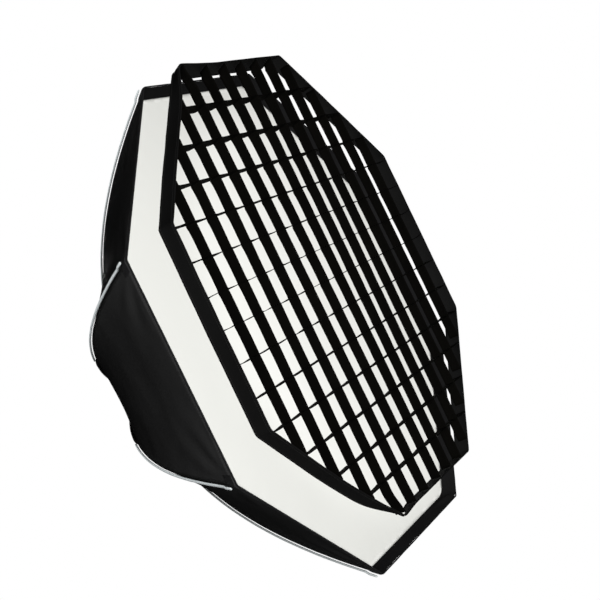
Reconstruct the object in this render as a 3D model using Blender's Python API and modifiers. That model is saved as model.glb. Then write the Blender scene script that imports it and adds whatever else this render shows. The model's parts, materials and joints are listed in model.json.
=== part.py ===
"""Octabox: an octagonal softbox on a bayonet speedring, with two diffusers and a fabric cell grid.

Units are metres, +Z is up, and the light leaves along -Y. The origin is the centre of the adapter's
rear face, where the lamp head goes on. Seams, rods and corners are numbered clockwise from the top
left corner, seen from the front.
"""

import math

import bmesh
import bpy
from mathutils import Matrix, Vector

# ---------------------------------------------------------------- driving dimensions
SIDES = 8
HALF_SIDE = math.pi / SIDES                # half of the angle that one side takes
FIRST_CORNER = math.radians(112.5)         # azimuth of corner 1, from +X towards +Z

FRONT_RADIUS = 0.600                       # corner radius of the front rim, 1.2 m corner to corner
SHELL_REAR_RADIUS = 0.110
SHELL_REAR_Y = -0.032
SHELL_DEPTH = 0.485
FRONT_Y = SHELL_REAR_Y - SHELL_DEPTH       # plane of the front rim
REAR_ANGLE = math.radians(71.5)            # seam's angle to the axis, at the speedring and at the rim
FRONT_ANGLE = math.radians(29.8)
REAR_PULL = 0.198                          # Bezier handle lengths of the seam's curve
FRONT_PULL = 0.287

PANEL_THICKNESS = 0.0012
PANEL_SEAM_GAP = 0.0009                    # from the seam's plane to the panel's edge
PANEL_ROWS = 9
ROD_RADIUS = 0.003
ROD_INSET = 0.008                          # from the seam inwards to the rod's centre
ROD_TIP_BACK = 0.042                       # from the rim back to the rod's tip
ROD_PLUG = 0.0225                          # how far the rod runs on into the speedring
PIPING_RADIUS = 0.0030
PIPING_OUT = 0.0044
POCKET_LENGTH = 0.030
POCKET_HALF_WIDTH = 0.022
PATCH_THICKNESS = 0.0012
POCKET_OUT = 0.0019
COLLAR_OUT = 0.0040
COLLAR_THICKNESS = 0.0020
COLLAR_HALF_WIDTH = 0.016
COLLAR_RING_SPAN = 0.10                    # share of the seam that the collar's ring covers
TONGUE_SPAN = 0.28                         # share of the seam under the collar's tongues

RECESS = 0.0255                            # the diffuser lies this far behind the rim
LIP_OUTER_RADIUS = 0.5940
LIP_INNER_RADIUS = 0.5815
CLOTH = 0.0012
DIFFUSER_RADIUS = 0.5790
BAND_RADII = (0.5430, 0.5700)
BINDING_RADIUS = 0.0022
BAFFLE_RADIUS = 0.400
BAFFLE_BACK = 0.170                        # from the rim back to the inner diffuser
STRAP_LENGTH = 0.070
STRAP_WIDTH = 0.018

RING_OUTER = 0.0980
RING_FRONT_Y = -0.0460
RING_REAR_Y = -0.0135
FLANGE_RADIUS = 0.0760
NECK_RADIUS = 0.0600
SLEEVE_RADIUS = 0.0640
THROAT_RADIUS = 0.0500
LUG_RADIUS = 0.0700
LUG_THICKNESS = 0.0040
LUG_COUNT = 3
LUG_GAP = math.radians(78.0)
SCREW_CIRCLE = 0.0880
RETAINER_SCREWS = 3
LOCK_Y = -0.0170                           # plane of the lock screw's axis
CLEAR = 0.0005                             # running gap between pieces that move or touch

GRID_RADIUS = 0.549                        # corner radius of the grid's frame
GRID_DEPTH = 0.0375
GRID_WALL = 0.0035
GRID_STRIPS = 13                           # strips each way
UPRIGHTS = (0.0240, (0.0737, 0.00030), (0.0680, 0.00020))     # the middle strip, then pitch and growth
CROSSES = (-0.0090, (0.0685, 0.00022), (0.0672, 0.00072))     # before it and after it
STRIP_THICKNESS = 0.0012
STRIP_DEPTH = 0.0235
STRIP_FRONT = 0.0010                       # from the frame's front edge back to the strips'
GRID_STANDOFF = 0.0585                     # from the rim's plane to the grid's rear edge
GRID_LIFT = 0.045                          # the grid hangs this much above the box's axis
GRID_TURN = math.radians(-0.5)             # and a little askew: turned about Z and tipped about X
GRID_TIP = math.radians(0.6)

ROUND_STEPS = 48


# ---------------------------------------------------------------- scene, materials, collections
def clear_scene():
    for item in list(bpy.data.objects):
        bpy.data.objects.remove(item, do_unlink=True)


def new_collection(name):
    collection = bpy.data.collections.new(name)
    bpy.context.scene.collection.children.link(collection)
    return collection


def material(name, colour, roughness, metallic=0.0):
    made = bpy.data.materials.new(name)
    made.use_nodes = True
    shader = made.node_tree.nodes["Principled BSDF"]
    shader.inputs["Base Color"].default_value = (*colour, 1.0)
    shader.inputs["Roughness"].default_value = roughness
    shader.inputs["Metallic"].default_value = metallic
    made.diffuse_color = (*colour, 1.0)
    return made


clear_scene()
PARTS = new_collection("octabox")
CUTTERS = new_collection("octabox_cutters")

BLACK_NYLON = material("black_nylon", (0.012, 0.012, 0.013), 0.75)
GREY_PIPING = material("grey_piping", (0.55, 0.58, 0.60), 0.55)
WHITE_CLOTH = material("white_cloth", (0.86, 0.86, 0.84), 0.85)
GRID_CLOTH = material("grid_cloth", (0.008, 0.008, 0.008), 0.80)
PATCH = material("patch", (0.010, 0.010, 0.011), 0.60)
ELASTIC = material("elastic", (0.70, 0.70, 0.68), 0.85)
SPRING_STEEL = material("spring_steel", (0.60, 0.60, 0.60), 0.35, 1.0)
RING_METAL = material("ring_metal", (0.62, 0.63, 0.65), 0.35, 1.0)
ZINC = material("zinc", (0.55, 0.56, 0.58), 0.40, 1.0)
KNOB = material("knob", (0.020, 0.020, 0.022), 0.45)


# ---------------------------------------------------------------- small makers
def add_object(name, mesh, finish, collection=None):
    item = bpy.data.objects.new(name, mesh)
    (collection or PARTS).objects.link(item)
    if finish is not None:
        mesh.materials.append(finish)
    return item


def mesh_from(name, builder):
    shape = bmesh.new()
    builder(shape)
    bmesh.ops.recalc_face_normals(shape, faces=shape.faces)
    mesh = bpy.data.meshes.new(name)
    shape.to_mesh(mesh)
    shape.free()
    return mesh


def make_round(item, angle=math.radians(35.0)):
    item.data.shade_smooth()
    item.data.set_sharp_from_angle(angle=angle)


def solidify(item, thickness):
    modifier = item.modifiers.new("thickness", "SOLIDIFY")
    modifier.thickness = thickness
    modifier.offset = 0.0
    modifier.use_even_offset = True
    return item


def turned(name, profile, finish, steps=ROUND_STEPS, closed=True, collection=None):
    """A body turned about local Z from (radius, height) points, outer side first, top to bottom."""
    start = HALF_SIDE if steps == SIDES else 0.0

    def build(shape):
        points = [shape.verts.new((r * math.cos(start), r * math.sin(start), h)) for r, h in profile]
        for a, b in zip(points, points[1:]):
            shape.edges.new((a, b))
        if closed:
            shape.edges.new((points[-1], points[0]))

    item = add_object(name, mesh_from(name, build), finish, collection)
    screw = item.modifiers.new("turn", "SCREW")
    screw.steps = steps
    screw.render_steps = steps
    screw.use_merge_vertices = True
    screw.merge_threshold = 0.00001
    screw.use_smooth_shade = steps > SIDES
    return item


def face_forward(item):
    """Local Z becomes the light's direction, -Y."""
    item.matrix_world = Matrix.Rotation(math.pi / 2, 4, "X")
    return item


def prism(name, outline, low, high, finish=None, collection=None):
    """A flat outline of (x, y) points, extruded along local Z."""
    def build(shape):
        base = shape.faces.new([shape.verts.new((x, y, low)) for x, y in outline])
        grown = bmesh.ops.extrude_face_region(shape, geom=[base])
        top = [v for v in grown["geom"] if isinstance(v, bmesh.types.BMVert)]
        bmesh.ops.translate(shape, verts=top, vec=(0.0, 0.0, high - low))

    return add_object(name, mesh_from(name, build), finish, collection)


def tube(name, points, radius, finish):
    """A round wire through the points, with closed ends."""
    curve = bpy.data.curves.new(name, "CURVE")
    curve.dimensions = "3D"
    curve.bevel_depth = radius
    curve.bevel_resolution = 2
    curve.use_fill_caps = True
    spline = curve.splines.new("POLY")
    spline.points.add(len(points) - 1)
    for slot, point in zip(spline.points, points):
        slot.co = (*point, 1.0)
    curve.materials.append(finish)
    item = bpy.data.objects.new(name, curve)
    PARTS.objects.link(item)
    return item


def hide_cutter(item):
    item.hide_render = True
    item.display_type = "WIRE"
    return item


def boolean(item, cutter, operation):
    modifier = item.modifiers.new(operation.lower(), "BOOLEAN")
    modifier.operation = operation
    modifier.solver = "EXACT"
    modifier.object = hide_cutter(cutter)
    return item


# ---------------------------------------------------------------- the shell's geometry
def azimuth(corner):
    return FIRST_CORNER - corner * 2.0 * HALF_SIDE


def spoke(angle, radius, y):
    return Vector((radius * math.cos(angle), y, radius * math.sin(angle)))


def seam_profile(s):
    """Radius, y and unit tangent (radius, y) of the seam's curve; s runs 0 at the ring to 1 at the rim."""
    start = Vector((SHELL_REAR_RADIUS, SHELL_REAR_Y))
    end = Vector((FRONT_RADIUS, FRONT_Y))
    first = start + REAR_PULL * Vector((math.sin(REAR_ANGLE), -math.cos(REAR_ANGLE)))
    second = end - FRONT_PULL * Vector((math.sin(FRONT_ANGLE), -math.cos(FRONT_ANGLE)))
    t = 1.0 - s
    point = t**3 * start + 3 * t * t * s * first + 3 * t * s * s * second + s**3 * end
    slope = t * t * (first - start) + 2 * t * s * (second - first) + s * s * (end - second)
    return point, slope.normalized()


def panel_normal(panel, tangent):
    """Outward normal of the panel between corner `panel` and the next."""
    middle = azimuth(panel) - HALF_SIDE
    across, along = tangent[0] * math.cos(HALF_SIDE), tangent[1]
    return (spoke(middle, -along, 0.0) + Vector((0.0, across, 0.0))).normalized()


def skin_point(corner, lateral, s, offset):
    """A point off the shell: `lateral` metres from the seam along the side, `offset` metres outwards."""
    profile, tangent = seam_profile(s)
    angle = azimuth(corner)
    seam = spoke(angle, profile[0], profile[1])
    before = panel_normal(corner - 1, tangent)
    after = panel_normal(corner, tangent)
    if lateral == 0.0:
        return seam + offset * (before + after) / (1.0 + before.dot(after))
    next_angle = angle - math.copysign(2.0 * HALF_SIDE, lateral)
    side = (spoke(next_angle, 1.0, 0.0) - spoke(angle, 1.0, 0.0)).normalized()
    return seam + abs(lateral) * side + offset * (after if lateral > 0.0 else before)


def share_at(distance):
    """The share s of the seam at a straight distance back from the rim."""
    end = seam_profile(1.0)[0]
    low, high = 0.0, 1.0
    for _ in range(40):
        middle = 0.5 * (low + high)
        if (seam_profile(middle)[0] - end).length > distance:
            low = middle
        else:
            high = middle
    return low


def spread(low, high, count):
    return [low + (high - low) * i / (count - 1) for i in range(count)]


# ---------------------------------------------------------------- fabric
def sheet(name, rows, finish, thickness):
    """A closed cloth solid over rows of points."""
    def build(shape):
        made = [[shape.verts.new(p) for p in row] for row in rows]
        for low, high in zip(made, made[1:]):
            for i in range(len(low) - 1):
                shape.faces.new((low[i], low[i + 1], high[i + 1], high[i]))

    return solidify(add_object(name, mesh_from(name, build), finish), thickness)


def shell_panel(corner):
    rows = []
    for s in spread(0.0, 0.994, PANEL_ROWS):
        side = 2.0 * seam_profile(s)[0][0] * math.sin(HALF_SIDE)
        rows.append([skin_point(corner, PANEL_SEAM_GAP, s, 0.0),
                     skin_point(corner, side - PANEL_SEAM_GAP, s, 0.0)])
    return sheet(f"shell_panel_{corner + 1}", rows, BLACK_NYLON, PANEL_THICKNESS)


def seam_piping(corner):
    reach = spread(TONGUE_SPAN + 0.008, share_at(POCKET_LENGTH + 0.006), 12)
    points = [skin_point(corner, 0.0, s, PIPING_OUT) for s in reach]
    return tube(f"seam_piping_{corner + 1}", points, PIPING_RADIUS, GREY_PIPING)


def corner_pocket(corner):
    rows = [[skin_point(corner, w, s, POCKET_OUT) for w in (-POCKET_HALF_WIDTH, 0.0, POCKET_HALF_WIDTH)]
            for s in spread(share_at(POCKET_LENGTH), share_at(0.003), 3)]
    return sheet(f"corner_pocket_{corner + 1}", rows, PATCH, PATCH_THICKNESS)


def rear_collar():
    """A fabric ring round the speedring's mouth with a tongue along every seam."""
    ring_rows = spread(0.0, COLLAR_RING_SPAN, 3)
    tongue_rows = spread(COLLAR_RING_SPAN, TONGUE_SPAN, 4)[1:]
    across = (-COLLAR_HALF_WIDTH, 0.0, COLLAR_HALF_WIDTH)

    def build(shape):
        rows = []
        for s in ring_rows:
            rows.append([shape.verts.new(skin_point(corner, w, s, COLLAR_OUT))
                         for corner in range(SIDES) for w in across])
        for low, high in zip(rows, rows[1:]):
            for i in range(len(low)):
                j = (i + 1) % len(low)
                shape.faces.new((low[i], low[j], high[j], high[i]))
        for corner in range(SIDES):
            low = rows[-1][3 * corner:3 * corner + 3]
            for s in tongue_rows:
                high = [shape.verts.new(skin_point(corner, w, s, COLLAR_OUT)) for w in across]
                for i in range(2):
                    shape.faces.new((low[i], low[i + 1], high[i + 1], high[i]))
                low = high

    item = add_object("rear_collar", mesh_from("rear_collar", build), PATCH)
    return solidify(item, COLLAR_THICKNESS)


def octagon_ring(name, profile, finish):
    return face_forward(turned(name, profile, finish, steps=SIDES))


def front_rim():
    front = -FRONT_Y
    lip = [(LIP_OUTER_RADIUS, front - 0.0005), (LIP_INNER_RADIUS, front - RECESS - 0.0005),
           (LIP_INNER_RADIUS - 0.0015, front - RECESS + 0.0005), (LIP_OUTER_RADIUS - 0.0015, front + 0.0005)]
    octagon_ring("front_lip", lip, BLACK_NYLON)
    round_wire = [(FRONT_RADIUS + 0.0002 + BINDING_RADIUS * math.cos(a),
                   front + 0.0008 - BINDING_RADIUS * math.sin(a))
                  for a in spread(0.0, 2.0 * math.pi, 9)[:-1]]
    octagon_ring("rim_binding", round_wire, PATCH)
    band_high = front - RECESS - 0.0022
    inner, outer = BAND_RADII
    band = [(outer, band_high), (outer, band_high - 0.0015), (inner, band_high - 0.0015), (inner, band_high)]
    octagon_ring("loop_band", band, PATCH)


def octagon(radius):
    return [(radius * math.cos(a), radius * math.sin(a))
            for a in [HALF_SIDE + 2.0 * HALF_SIDE * i for i in range(SIDES)]]


def diffusers():
    front = -FRONT_Y - RECESS
    face_forward(prism("front_diffuser", octagon(DIFFUSER_RADIUS), front - CLOTH - 0.0004, front - 0.0004,
                       WHITE_CLOTH))
    back = -FRONT_Y - BAFFLE_BACK
    face_forward(prism("inner_diffuser", octagon(BAFFLE_RADIUS), back - CLOTH, back, WHITE_CLOTH))
    for corner in range(SIDES):
        bpy.ops.mesh.primitive_cube_add(size=1.0)
        strap = bpy.context.object
        strap.name = f"baffle_strap_{corner + 1}"
        strap.data.transform(Matrix.Diagonal((STRAP_LENGTH, CLOTH, STRAP_WIDTH, 1.0)))
        middle = BAFFLE_RADIUS + 0.0045 + STRAP_LENGTH / 2
        strap.location = spoke(azimuth(corner), middle, -back + CLOTH / 2)
        strap.rotation_euler = (0.0, -azimuth(corner), 0.0)
        strap.data.materials.append(ELASTIC)
        move_to_parts(strap)


def move_to_parts(item):
    for owner in list(item.users_collection):
        owner.objects.unlink(item)
    PARTS.objects.link(item)


# ---------------------------------------------------------------- rods and speedring
def rod_line(corner):
    """The rod's centre line: a straight plug in the ring, then the seam's curve, set inwards."""
    line = [skin_point(corner, 0.0, s, -ROD_INSET) for s in spread(0.0, share_at(ROD_TIP_BACK), 12)]
    inwards = (line[0] - skin_point(corner, 0.0, 0.01, -ROD_INSET)).normalized()
    return [line[0] + ROD_PLUG * inwards] + line


def rods():
    for corner in range(SIDES):
        tube(f"rod_{corner + 1}", rod_line(corner), ROD_RADIUS, SPRING_STEEL)


def round_cutter(name, start, direction, radius, length):
    """A round bar from `start` along `direction`."""
    bar = turned(name, [(0.0, length), (radius, length), (radius, 0.0), (0.0, 0.0)], None,
                 steps=12, closed=False, collection=CUTTERS)
    bar.matrix_world = Matrix.Translation(start) @ direction.to_track_quat("Z", "Y").to_matrix().to_4x4()
    return hide_cutter(bar)


def speedring_body():
    back, front = -RING_REAR_Y, -RING_FRONT_Y
    pocket = 0.0070                                     # depth of the pocket for the adapter's flange
    profile = [(RING_OUTER, front), (RING_OUTER, back), (FLANGE_RADIUS + CLEAR, back),
               (FLANGE_RADIUS + CLEAR, back + pocket), (SLEEVE_RADIUS + CLEAR, back + pocket),
               (SLEEVE_RADIUS + CLEAR, front)]
    body = face_forward(turned("speedring_body", profile, RING_METAL))
    for corner in range(SIDES):
        plug, first = rod_line(corner)[:2]
        direction = (first - plug).normalized()
        start = plug - 0.0006 * direction
        boolean(body, round_cutter(f"rod_hole_{corner + 1}", start, direction, ROD_RADIUS + CLEAR, 0.04),
                "DIFFERENCE")
    hole = round_cutter("lock_screw_hole", Vector((0.0, LOCK_Y, -0.070)), Vector((0.0, 0.0, -1.0)), 0.0031, 0.04)
    boolean(body, hole, "DIFFERENCE")
    for cutter in retainer_holes("body_screw_hole"):
        boolean(body, cutter, "DIFFERENCE")
    make_round(body)
    return body


def retainer_angle(index):
    return math.radians(90.0 + 360.0 / RETAINER_SCREWS * index)


def retainer_holes(name):
    holes = []
    for i in range(RETAINER_SCREWS):
        start = spoke(retainer_angle(i), SCREW_CIRCLE, 0.0)
        holes.append(round_cutter(f"{name}_{i + 1}", start, Vector((0.0, -1.0, 0.0)), 0.0020, 0.0245))
    return holes


def retainer():
    near, far = 0.0095, -RING_REAR_Y - 0.0003
    profile = [(RING_OUTER, far), (RING_OUTER, near), (NECK_RADIUS + 0.001, near), (NECK_RADIUS + 0.001, far)]
    plate = face_forward(turned("retainer_ring", profile, RING_METAL))
    for cutter in retainer_holes("plate_screw_hole"):
        boolean(plate, cutter, "DIFFERENCE")
    make_round(plate)
    head = near - 0.0003
    for i in range(RETAINER_SCREWS):
        profile = [(0.0, 0.024), (0.0015, 0.024), (0.0015, head), (0.0032, head), (0.0032, head - 0.0018),
                   (0.0022, head - 0.0026), (0.0, head - 0.0026)]
        screw = turned(f"retainer_screw_{i + 1}", profile, ZINC, steps=16, closed=False)
        spot = spoke(retainer_angle(i), SCREW_CIRCLE, 0.0)
        screw.matrix_world = Matrix.Translation(spot) @ Matrix.Rotation(math.pi / 2, 4, "X")
        make_round(screw)


def ring_sector(name, inner, outer, middle, width, low, high):
    """The outline of a ring's sector, as a cutter in the light's direction."""
    angles = spread(middle - width / 2, middle + width / 2, 9)
    outline = [(outer * math.cos(a), outer * math.sin(a)) for a in angles]
    outline += [(inner * math.cos(a), inner * math.sin(a)) for a in reversed(angles)]
    return face_forward(prism(name, outline, low, high, collection=CUTTERS))


def bayonet_adapter():
    flange_back, flange_front = 0.0140, 0.0200
    profile = [(SLEEVE_RADIUS, 0.0420), (SLEEVE_RADIUS, flange_front), (FLANGE_RADIUS, flange_front),
               (FLANGE_RADIUS, flange_back), (NECK_RADIUS, flange_back), (NECK_RADIUS, LUG_THICKNESS),
               (LUG_RADIUS, LUG_THICKNESS), (LUG_RADIUS, 0.0), (THROAT_RADIUS, 0.0), (THROAT_RADIUS, 0.0420)]
    adapter = face_forward(turned("bayonet_adapter", profile, RING_METAL))
    for i in range(LUG_COUNT):
        middle = math.radians(30.0) + 2.0 * math.pi / LUG_COUNT * i
        notch = ring_sector(f"lug_notch_{i + 1}", NECK_RADIUS + 0.0006, LUG_RADIUS + 0.003, middle, LUG_GAP,
                            -0.001, LUG_THICKNESS + 0.001)
        boolean(adapter, notch, "DIFFERENCE")
    make_round(adapter)
    return adapter


def lock_screw():
    """A thumb screw whose tip presses on the adapter's flange; it turns about its own axis, local Z."""
    shank, knob_low, knob_high, knob_radius, lobes = 0.0025, 0.105, 0.121, 0.0062, 6
    wave = [knob_radius * (1.0 - 0.07 * (1.0 - math.cos(lobes * a)))
            for a in spread(0.0, 2.0 * math.pi, 6 * lobes + 1)[:-1]]
    outline = [(r * math.cos(a), r * math.sin(a))
               for r, a in zip(wave, spread(0.0, 2.0 * math.pi, len(wave) + 1))]
    knob = prism("turn_lock_screw", outline, knob_low, knob_high, KNOB)
    low = FLANGE_RADIUS + CLEAR
    stem = turned("lock_stem", [(0.0, knob_low + 0.002), (shank, knob_low + 0.002), (shank, low), (0.0, low)],
                  None, steps=12, closed=False, collection=CUTTERS)
    place = Matrix.Translation((0.0, LOCK_Y, 0.0)) @ Matrix.Rotation(math.pi, 4, "X")
    knob.matrix_world = place
    stem.matrix_world = place
    boolean(knob, stem, "UNION")
    make_round(knob)
    return knob


# ---------------------------------------------------------------- grid
def grid():
    """The grid's frame and lattice, about their own centre, front along local Z."""
    inner = GRID_RADIUS - GRID_WALL
    profile = [(GRID_RADIUS, GRID_DEPTH), (GRID_RADIUS, 0.0), (inner, 0.0), (inner, GRID_DEPTH)]
    frame = turned("grid_frame", profile, GRID_CLOTH, steps=SIDES)
    high = GRID_DEPTH - STRIP_FRONT
    lattice = prism("grid_lattice", octagon(inner - CLEAR), high - STRIP_DEPTH, high, GRID_CLOTH)
    boolean(lattice, cell_cutter(inner), "DIFFERENCE")
    carrier = bpy.data.objects.new("grid_carrier", None)
    PARTS.objects.link(carrier)
    carrier.matrix_world = (Matrix.Translation((0.0, FRONT_Y - GRID_STANDOFF, GRID_LIFT))
                            @ Matrix.Rotation(GRID_TURN, 4, "Z") @ Matrix.Rotation(GRID_TIP + math.pi / 2, 4, "X"))
    cutter = bpy.data.objects["grid_cells"]
    for item in (frame, lattice, cutter):
        item.parent = carrier


def strip_places(middle, before, after):
    """Where the strips that run one way stand: the pitch grows a little with each strip from the middle."""
    half = (GRID_STRIPS - 1) // 2
    places = []
    for k in range(-half, half + 1):
        pitch, growth = before if k < 0 else after
        places.append(middle + k * (pitch + growth * abs(k)))
    return places


def cell_spans(places, reach):
    """The gaps between the strips that run one way; the outermost two run past the lattice's edge."""
    lines = [-reach] + places + [reach]
    return [(a + STRIP_THICKNESS / 2, b - STRIP_THICKNESS / 2) for a, b in zip(lines, lines[1:])]


def cell_cutter(reach):
    """One block for each cell."""
    def build(shape):
        for x0, x1 in cell_spans(strip_places(*UPRIGHTS), reach):
            for y0, y1 in cell_spans(strip_places(*CROSSES), reach):
                place = Matrix.Translation(((x0 + x1) / 2, (y0 + y1) / 2, GRID_DEPTH / 2))
                size = Matrix.Diagonal((x1 - x0, y1 - y0, GRID_DEPTH + 0.01, 1.0))
                bmesh.ops.create_cube(shape, size=1.0, matrix=place @ size)

    return hide_cutter(add_object("grid_cells", mesh_from("grid_cells", build), None, CUTTERS))


# ---------------------------------------------------------------- assembly
def carry_softbox():
    """Everything but the adapter and the grid turns about the ring's axis, at this empty."""
    turntable = bpy.data.objects.new("softbox_turntable", None)
    PARTS.objects.link(turntable)
    for item in list(PARTS.objects):
        if item.parent is None and item.name not in ("bayonet_adapter", "softbox_turntable"):
            item.parent = turntable


def main():
    for corner in range(SIDES):
        shell_panel(corner)
        seam_piping(corner)
        corner_pocket(corner)
    rear_collar()
    front_rim()
    diffusers()
    rods()
    speedring_body()
    retainer()
    bayonet_adapter()
    lock_screw()
    grid()
    carry_softbox()


main()
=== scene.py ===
"""The octabox's looks: cloth, piping, webbing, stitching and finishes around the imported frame.

Metres, +Z up, the light leaves along -Y. Corners are numbered clockwise from the top left one,
seen from the front; panel k runs from corner k to the next.
"""

import json
import math

import bpy
import numpy as np
from mathutils import Matrix, Vector, noise

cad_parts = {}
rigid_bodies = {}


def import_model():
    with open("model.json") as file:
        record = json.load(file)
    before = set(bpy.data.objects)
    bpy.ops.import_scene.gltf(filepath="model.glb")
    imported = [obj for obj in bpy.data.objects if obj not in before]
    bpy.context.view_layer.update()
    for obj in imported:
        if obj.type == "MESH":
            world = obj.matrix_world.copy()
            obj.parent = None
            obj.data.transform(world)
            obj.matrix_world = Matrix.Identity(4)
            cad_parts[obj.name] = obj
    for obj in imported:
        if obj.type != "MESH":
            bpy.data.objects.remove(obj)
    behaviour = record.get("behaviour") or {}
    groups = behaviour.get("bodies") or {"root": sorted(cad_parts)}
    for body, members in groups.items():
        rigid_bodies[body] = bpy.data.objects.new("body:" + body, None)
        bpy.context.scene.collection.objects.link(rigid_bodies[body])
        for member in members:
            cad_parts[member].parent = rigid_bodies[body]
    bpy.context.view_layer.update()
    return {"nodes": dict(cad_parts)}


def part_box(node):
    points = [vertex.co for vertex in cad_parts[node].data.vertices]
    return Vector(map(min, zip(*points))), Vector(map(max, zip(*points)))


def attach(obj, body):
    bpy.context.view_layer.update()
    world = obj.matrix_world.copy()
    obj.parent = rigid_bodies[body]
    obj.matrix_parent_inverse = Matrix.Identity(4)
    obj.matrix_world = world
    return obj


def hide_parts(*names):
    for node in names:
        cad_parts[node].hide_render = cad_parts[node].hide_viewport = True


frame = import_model()

# ---------------------------------------------------------------- driving values
SIDES = 8
HALF_SIDE = math.pi / SIDES
FIRST_CORNER = math.radians(112.5)

FRONT_RADIUS = 0.600                    # corner radius of the front rim
FRONT_Y = -0.517                        # plane of the front rim
REAR_RADIUS = 0.110
REAR_Y = -0.032
REAR_ANGLE = math.radians(71.5)         # the seam's angle to the axis at the ring, and at the rim
FRONT_ANGLE = math.radians(29.8)
REAR_PULL = 0.198                       # the seam's Bezier handle lengths
FRONT_PULL = 0.287

CLOTH = 0.0008
PANEL_COLUMNS = 44
PANEL_BOW = 0.0085                      # how far a panel's middle is pulled inwards
PANEL_END = 0.9955                      # share of the seam where the panel meets the rim tape

PIPING_RADIUS = 0.0031
PIPING_OUT = 0.0044                     # its middle line's height off the shell
PIPING_RISE = 0.0024                    # and how much higher it goes over the pocket
PIPING_SIDES = 16
PIPING_RIB = 0.0042                     # length of one rib of its twist
TONGUE_SPAN = 0.28                      # share of the seam under the collar's tongues
RING_SPAN = 0.10                        # share under the collar's ring
POCKET_LENGTH = 0.030
POCKET_END = 0.0025                     # its distance from the rim
POCKET_HALF_WIDTH = 0.022
RIDGE_EASE = 0.006                      # how far from a seam thick cloth starts to round it
SEAM_RUN = 0.72                         # the seam's length, near enough for a weave

STITCH_SIDES = 6
STITCH = ((0.0, 0.0, -0.6), (0.12, 0.75, 0.1), (0.5, 1.0, 0.7), (0.88, 0.75, 0.1), (1.0, 0.0, -0.6))
# a stitch's stations: share of its length, girth and height, both in radii

LIP_OUTER = 0.5975                      # its outer edge
LIP_RADIUS = 0.5815                     # corner radius of the lip's inner edge, behind the rim
LIP_DEPTH = 0.0255
LIP_CORNER = 0.012                      # how much the opening's corners are rounded
LOOSE_CORNER = 4                        # the lower right corner, where the lip is slack
LOOSE_ROUND = 0.065
DIFFUSER_RADIUS = 0.5805
BAFFLE_RADIUS = 0.3995
BAFFLE_BACK = 0.1694                    # the inner diffuser's distance behind the rim

GRID_RADIUS = 0.549
GRID_DEPTH = 0.0375
GRID_WALL = 0.0035
GRID_CORNER = 0.016
GRID_STRIPS = 13                        # strips each way
UPRIGHTS = (0.0240, (0.0737, 0.00030), (0.0680, 0.00020))   # the middle strip, then pitch and growth
CROSSES = (-0.0090, (0.0685, 0.00022), (0.0672, 0.00072))   # before it and after it
CELL = 0.070
STRIP_STEP = 0.0072                     # between a strip's rows of points
STRIP_DEPTH = 0.0235
STRIP_FRONT = 0.0010                    # from the frame's front edge back to the strips'
GRID_CENTRE = Vector((0.0, FRONT_Y - 0.0585, 0.045))
GRID_TURN = math.radians(-0.5)
GRID_TIP = math.radians(0.6)

LOWEST = 247.5                          # directions of two of the grid's corners, in degrees
TOP_LEFT = 112.5

FRONT_CENTRE = Vector((0.0, FRONT_Y, 0.0))
CAMERA_LENS = 76.37                     # mm, on a sensor 36 mm wide
CAMERA_OFFSET = Vector((-2.461, -1.3378, 0.0295))           # from the front's centre
CAMERA_RIGHT = Vector((0.43224, -0.78671, -0.44075))
CAMERA_UP = Vector((0.21436, -0.38512, 0.89763))
AMBIENT = 0.035                         # strength of the light that the surround gives
FLOOR_RADIUS = 0.95
FLOOR_Y = -0.3
FLOOR_Z = -1.30


# ---------------------------------------------------------------- camera, light and floor
def set_camera():
    """The photograph's viewing angle: low at the box's left front, and rolled."""
    data = bpy.data.cameras.new("camera")
    data.lens = CAMERA_LENS
    data.sensor_width = 36.0
    camera = bpy.data.objects.new("camera", data)
    bpy.context.scene.collection.objects.link(camera)
    turn = Matrix((CAMERA_RIGHT, CAMERA_UP, CAMERA_RIGHT.cross(CAMERA_UP))).transposed().to_4x4()
    camera.matrix_world = Matrix.Translation(FRONT_CENTRE + CAMERA_OFFSET) @ turn
    bpy.context.scene.camera = camera


def area_light(name, place, target, size, power, colour=(1.0, 1.0, 1.0)):
    """A round light that the camera doesn't see."""
    data = bpy.data.lights.new(name, "AREA")
    data.shape = "DISK"
    data.size = size
    data.energy = power
    data.color = colour
    light = bpy.data.objects.new(name, data)
    bpy.context.scene.collection.objects.link(light)
    light.location = place
    light.rotation_mode = "QUATERNION"
    light.rotation_quaternion = (Vector(target) - Vector(place)).to_track_quat("-Z", "Y")
    light.visible_camera = False
    return light


def set_world():
    """A white surround where the camera looks at it, and a much dimmer one for the light it gives."""
    world = bpy.data.worlds.new("studio")
    bpy.context.scene.world = world
    world.use_nodes = True
    tree = world.node_tree
    tree.nodes.clear()
    mix = tree.nodes.new("ShaderNodeMixShader")
    for slot, strength in ((1, AMBIENT), (2, 1.0)):
        surround = tree.nodes.new("ShaderNodeBackground")
        surround.inputs["Color"].default_value = (1.0, 1.0, 1.0, 1.0)
        surround.inputs["Strength"].default_value = strength
        tree.links.new(surround.outputs["Background"], mix.inputs[slot])
    path = tree.nodes.new("ShaderNodeLightPath")
    out = tree.nodes.new("ShaderNodeOutputWorld")
    tree.links.new(path.outputs["Is Camera Ray"], mix.inputs["Fac"])
    tree.links.new(mix.outputs["Shader"], out.inputs["Surface"])


def set_lights():
    """Key, back and edge lights, and a weak one behind the grid that evens out the diffuser."""
    area_light("key", (-3.55, -3.75, -0.15), (0.0, -0.50, 0.0), 2.0, 300.0, (1.0, 1.0, 0.985))
    area_light("back", (3.1, 1.9, 0.3), (0.0, -0.25, 0.0), 1.6, 70.0)
    area_light("edge", (-2.4, 1.6, 1.5), (0.0, -0.25, 0.0), 1.6, 80.0)
    fill = area_light("diffuser_fill", (0.16, -0.552, -0.03), (0.16, 0.0, -0.03), 1.02, 0.62)
    fill.visible_glossy = False


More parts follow.
